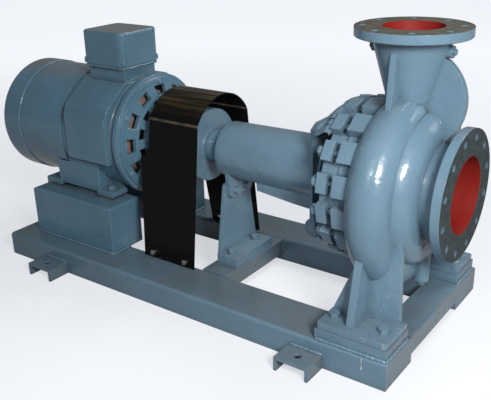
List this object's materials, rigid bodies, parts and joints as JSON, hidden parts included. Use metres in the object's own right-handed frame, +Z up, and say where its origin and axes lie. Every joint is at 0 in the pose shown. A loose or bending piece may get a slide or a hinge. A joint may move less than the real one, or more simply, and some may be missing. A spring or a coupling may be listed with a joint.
{
  "type": "water pump set",
  "caption": "End-suction volute water pump on a bearing bracket, driven through a guarded pin coupling by an electric motor, all on one steel channel skid.",
  "frame": {"origin": "middle of the whole set's footprint, on the floor under the skid", "axes": "+X along the shaft towards the suction flange, +Z up out of the discharge flange, +Y across the skid"},
  "size_m": [1.57, 0.76, 0.823],
  "materials": {
    "blue_enamel": "gloss enamel",
    "black_enamel": "gloss enamel",
    "machined_steel": "turned",
    "shaft_steel": "ground",
    "zinc_steel": "zinc plated",
    "painted_steel": "gloss enamel",
    "bearing_steel": "polished",
    "bronze": "machined",
    "copper": "varnished wire",
    "impeller_iron": "cast",
    "core_steel": "laminated",
    "rubber": "matt",
    "packing": "braided",
    "gasket": "matt",
    "black_plastic": "matt",
    "block_plastic": "moulded"
  },
  "bodies": {
    "skid_and_housings": {"front_rail": "blue_enamel", "rear_rail": "blue_enamel", "cross_members": "blue_enamel", "anchor_lugs": "blue_enamel", "pump_pads": "blue_enamel", "motor_pedestals": "blue_enamel", "motor_shims": "machined_steel", "volute_casing": "blue_enamel", "casing_cover": "blue_enamel", "wear_rings": "bronze", "casing_gasket": "gasket", "joint_studs": "zinc_steel", "packing_rings": "packing", "lantern_ring": "bronze", "gland": "blue_enamel", "gland_studs": "zinc_steel", "bearing_bracket": "blue_enamel", "bearing_covers": "blue_enamel", "bearing_cover_screws": "painted_steel", "bearing_pedestal": "blue_enamel", "pedestal_packer": "blue_enamel", "pedestal_bolts": "painted_steel", "plugs": "painted_steel", "pump_foot_bolts": "painted_steel", "pump_bearing_outer_rings": "bearing_steel", "coupling_guard": "black_enamel", "guard_feet": "black_enamel", "guard_screws": "zinc_steel", "motor_frame": "blue_enamel", "drive_end_shield": "blue_enamel", "fan_end_shield": "blue_enamel", "air_shroud": "blue_enamel", "fan_cover": "blue_enamel", "stator_core": "core_steel", "stator_windings": "copper", "terminal_box": "blue_enamel", "terminal_box_lid": "blue_enamel", "terminal_block": "block_plastic", "cable_glands": "bronze", "motor_foot_bolts": "painted_steel", "motor_bearing_outer_rings": "bearing_steel"},
    "pump_rotor": {"pump_shaft": "shaft_steel", "shaft_sleeve": "shaft_steel", "impeller": "impeller_iron", "impeller_nut": "bronze", "pump_keys": "machined_steel", "water_thrower": "rubber", "pump_bearing_inner_rings": "bearing_steel", "pump_bearing_balls": "bearing_steel", "pump_coupling_half": "blue_enamel", "coupling_pins": "machined_steel", "coupling_bushes": "rubber"},
    "motor_rotor": {"motor_shaft": "shaft_steel", "rotor_core": "core_steel", "cooling_fan": "black_plastic", "motor_coupling_half": "blue_enamel", "motor_key": "machined_steel", "motor_bearing_inner_rings": "bearing_steel", "motor_bearing_balls": "bearing_steel"}
  },
  "joints": [
    {"name": "motor_shaft_turn", "type": "hinge", "parent": "skid_and_housings", "child": "motor_rotor", "pos_m": [0, 0, 0.418], "axis": [1, 0, 0], "continuous": true},
    {"name": "pump_shaft_turn", "type": "hinge", "parent": "skid_and_housings", "child": "pump_rotor", "pos_m": [0, 0, 0.418], "axis": [1, 0, 0], "continuous": true}
  ],
  "couplings": [
    {"joint": "pump_shaft_turn", "follows": "motor_shaft_turn", "ratio": 1}
  ]
}
